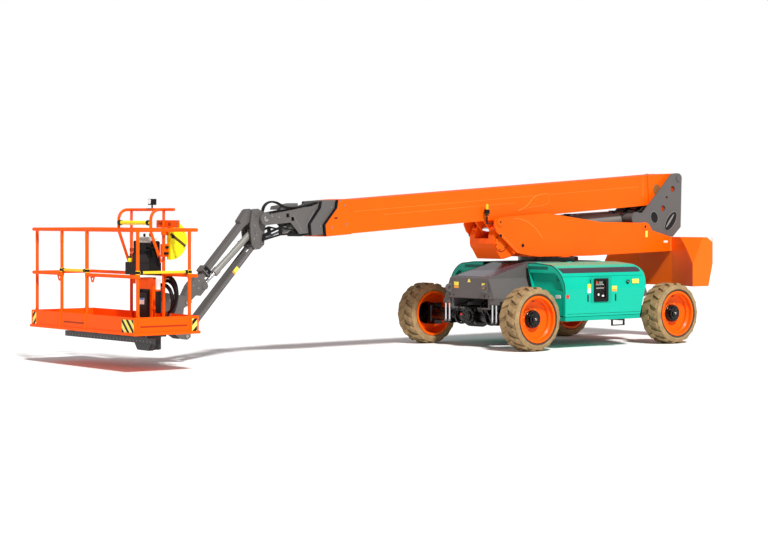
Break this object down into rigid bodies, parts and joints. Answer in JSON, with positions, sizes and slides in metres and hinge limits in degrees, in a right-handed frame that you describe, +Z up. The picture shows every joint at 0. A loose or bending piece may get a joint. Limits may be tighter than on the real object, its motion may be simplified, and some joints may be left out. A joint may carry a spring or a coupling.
{
  "type": "telescopic boom lift",
  "caption": "Wheeled aerial work platform with slewing turret, telescopic boom, level-keeping jib, railed basket, side hoods and lugged tyres, parked with the boom down",
  "frame": {"origin": "on the ground under the middle of the machine's bounding box, boom parked over the front", "axes": "+X forward towards the platform, +Y to the machine's left, +Z up"},
  "size_m": [10.3266, 2.49, 2.448],
  "materials": {
    "amber_lens": "gloss",
    "black_paint": "semi-matte",
    "black_plastic": "matte",
    "cast_weight": "painted",
    "cylinder_paint": "satin",
    "grey_paint": "satin",
    "orange_paint": "satin",
    "rail_paint": "painted",
    "rod_chrome": "polished",
    "turquoise_cover": "gloss",
    "turquoise_steel": "satin",
    "tyre_rubber": "matte",
    "yellow_bar": "painted",
    "yellow_plastic": "gloss"
  },
  "bodies": {
    "chassis": {"chassis_frame": "grey_paint", "slew_ring": "black_paint", "front_axle": "black_paint", "rear_axle": "black_paint", "side_box_left": "turquoise_steel", "side_box_right": "turquoise_steel", "chassis_step": "black_paint", "engine_block": "black_paint", "tank_block": "black_paint"},
    "hood_left": {"hood_left": "turquoise_cover", "ground_panel": "black_plastic"},
    "hood_right": {"hood_right": "turquoise_cover"},
    "knuckle_left": {"knuckle_left": "black_paint"},
    "knuckle_right": {"knuckle_right": "black_paint"},
    "turret": {"turret_frame": "orange_paint", "front_box": "orange_paint", "tower": "grey_paint", "counterweight": "cast_weight", "beacon": "amber_lens"},
    "lift_barrel": {"lift_barrel": "cylinder_paint"},
    "lift_rod": {"lift_rod": "rod_chrome"},
    "boom_base": {"boom_base": "orange_paint"},
    "boom_mid": {"boom_mid": "grey_paint"},
    "boom_fly": {"boom_fly": "grey_paint", "hose_carrier": "black_plastic"},
    "jib_knuckle": {"jib_knuckle": "grey_paint"},
    "level_barrel": {"level_barrel": "cylinder_paint"},
    "level_rod": {"level_rod": "rod_chrome"},
    "jib_upper_arm": {"jib_upper_arm": "grey_paint"},
    "jib_lower_arm": {"jib_lower_arm": "grey_paint"},
    "jib_barrel": {"jib_barrel": "cylinder_paint"},
    "jib_rod": {"jib_rod": "rod_chrome"},
    "jib_head": {"jib_head": "grey_paint"},
    "platform": {"platform_carrier": "black_paint", "platform_floor": "rail_paint", "under_beam": "black_paint", "platform_rails": "rail_paint", "hoops": "rail_paint", "sensor_bar": "yellow_plastic", "console": "black_plastic", "platform_column": "rail_paint", "document_box": "black_plastic", "storage_drum": "yellow_plastic", "platform_lamp": "black_plastic"},
    "gate_front": {"gate_front": "yellow_bar"},
    "gate_side": {"gate_side": "yellow_bar"},
    "wheel_front_left": {"tyre_front_left": "tyre_rubber", "rim_front_left": "orange_paint", "hub_front_left": "black_paint"},
    "wheel_front_right": {"tyre_front_right": "tyre_rubber", "rim_front_right": "orange_paint", "hub_front_right": "black_paint"},
    "wheel_rear_left": {"tyre_rear_left": "tyre_rubber", "rim_rear_left": "orange_paint", "hub_rear_left": "black_paint"},
    "wheel_rear_right": {"tyre_rear_right": "tyre_rubber", "rim_rear_right": "orange_paint", "hub_rear_right": "black_paint"}
  },
  "joints": [
    {"name": "slew", "type": "hinge", "parent": "chassis", "child": "turret", "pos_m": [-2.46334, 0, 1.235], "axis": [0, 0, 1], "continuous": true},
    {"name": "steer_left", "type": "hinge", "parent": "chassis", "child": "knuckle_left", "pos_m": [-1.11334, 0.965, 0.43], "axis": [0, 0, 1], "range_deg": [-30, 30]},
    {"name": "steer_right", "type": "hinge", "parent": "chassis", "child": "knuckle_right", "pos_m": [-1.11334, -0.965, 0.43], "axis": [0, 0, 1], "range_deg": [-30.5, 30.5]},
    {"name": "spin_front_left", "type": "hinge", "parent": "knuckle_left", "child": "wheel_front_left", "pos_m": [-1.11334, 1.075, 0.43], "axis": [0, 1, 0], "continuous": true},
    {"name": "spin_front_right", "type": "hinge", "parent": "knuckle_right", "child": "wheel_front_right", "pos_m": [-1.11334, -1.075, 0.43], "axis": [0, 1, 0], "continuous": true},
    {"name": "spin_rear_left", "type": "hinge", "parent": "chassis", "child": "wheel_rear_left", "pos_m": [-3.81334, 1.075, 0.43], "axis": [0, 1, 0], "continuous": true},
    {"name": "spin_rear_right", "type": "hinge", "parent": "chassis", "child": "wheel_rear_right", "pos_m": [-3.81334, -1.075, 0.43], "axis": [0, 1, 0], "continuous": true},
    {"name": "boom_lift", "type": "hinge", "parent": "turret", "child": "boom_base", "pos_m": [-4.82834, 0, 2.368], "axis": [0, -1, 0], "range_deg": [0, 74]},
    {"name": "lift_barrel_swing", "type": "hinge", "parent": "turret", "child": "lift_barrel", "pos_m": [-3.94934, 0, 1.774], "axis": [0, -1, 0], "range_deg": [-1, 82.24]},
    {"name": "lift_rod_slide", "type": "slide", "parent": "lift_barrel", "child": "lift_rod", "axis": [0.9985, 0, -0.0538], "range_m": [-0.01, 1.2239]},
    {"name": "mid_extend", "type": "slide", "parent": "boom_base", "child": "boom_mid", "axis": [0.9976, 0, -0.0698], "range_m": [0, 4.9]},
    {"name": "fly_extend", "type": "slide", "parent": "boom_mid", "child": "boom_fly", "axis": [0.9976, 0, -0.0698], "range_m": [-0.01, 4.91]},
    {"name": "level", "type": "hinge", "parent": "boom_fly", "child": "jib_knuckle", "pos_m": [2.57634, 0, 1.77503], "axis": [0, -1, 0], "range_deg": [-75, 1]},
    {"name": "level_barrel_swing", "type": "hinge", "parent": "boom_fly", "child": "level_barrel", "pos_m": [1.61684, 0, 1.8301], "axis": [0, -1, 0], "range_deg": [-1, 7.86]},
    {"name": "level_rod_slide", "type": "slide", "parent": "level_barrel", "child": "level_rod", "axis": [0.9401, 0, -0.3408], "range_m": [-0.3573, 0.01]},
    {"name": "jib_lift", "type": "hinge", "parent": "jib_knuckle", "child": "jib_upper_arm", "pos_m": [2.68634, 0, 1.84503], "axis": [0, -1, 0], "range_deg": [-8, 107]},
    {"name": "jib_lower_swing", "type": "hinge", "parent": "jib_knuckle", "child": "jib_lower_arm", "pos_m": [2.68634, 0, 1.43503], "axis": [0, -1, 0], "range_deg": [-9, 108]},
    {"name": "jib_head_level", "type": "hinge", "parent": "jib_upper_arm", "child": "jib_head", "pos_m": [3.70934, 0, 0.748], "axis": [0, -1, 0], "range_deg": [-108, 9]},
    {"name": "jib_barrel_swing", "type": "hinge", "parent": "jib_knuckle", "child": "jib_barrel", "pos_m": [2.67134, 0, 1.61503], "axis": [0, -1, 0], "range_deg": [-8.7, 103.94]},
    {"name": "jib_rod_slide", "type": "slide", "parent": "jib_barrel", "child": "jib_rod", "axis": [0.7419, 0, -0.6705], "range_m": [-0.037, 0.3711]},
    {"name": "platform_rotate", "type": "hinge", "parent": "jib_head", "child": "platform", "pos_m": [4.09634, 0, 0.6], "axis": [0, 0, 1], "range_deg": [-90, 90]},
    {"name": "gate_front_lift", "type": "slide", "parent": "platform", "child": "gate_front", "axis": [0, 0, 1], "range_m": [0, 0.38]},
    {"name": "gate_side_lift", "type": "slide", "parent": "platform", "child": "gate_side", "axis": [0, 0, 1], "range_m": [0, 0.38]},
    {"name": "hood_left_open", "type": "hinge", "parent": "chassis", "child": "hood_left", "pos_m": [-2.46334, 0.456, 1.159], "axis": [1, 0, 0], "range_deg": [0, 60]},
    {"name": "hood_right_open", "type": "hinge", "parent": "chassis", "child": "hood_right", "pos_m": [-2.46334, -0.456, 1.159], "axis": [-1, 0, 0], "range_deg": [0, 60]}
  ],
  "couplings": [
    {"joint": "steer_right", "follows": "steer_left", "ratio": 1},
    {"joint": "lift_barrel_swing", "follows": "boom_lift", "ratio": 1.0979},
    {"joint": "lift_rod_slide", "follows": "boom_lift", "m_per_rad": 0.93991},
    {"joint": "fly_extend", "follows": "mid_extend", "ratio": 1},
    {"joint": "level", "follows": "boom_lift", "ratio": -1},
    {"joint": "level_barrel_swing", "follows": "boom_lift", "ratio": 0.092752},
    {"joint": "level_rod_slide", "follows": "boom_lift", "m_per_rad": -0.26887},
    {"joint": "jib_lower_swing", "follows": "jib_lift", "ratio": 1},
    {"joint": "jib_head_level", "follows": "jib_lift", "ratio": -1},
    {"joint": "jib_barrel_swing", "follows": "jib_lift", "ratio": 0.96208},
    {"joint": "jib_rod_slide", "follows": "jib_lift", "m_per_rad": 0.19338}
  ]
}
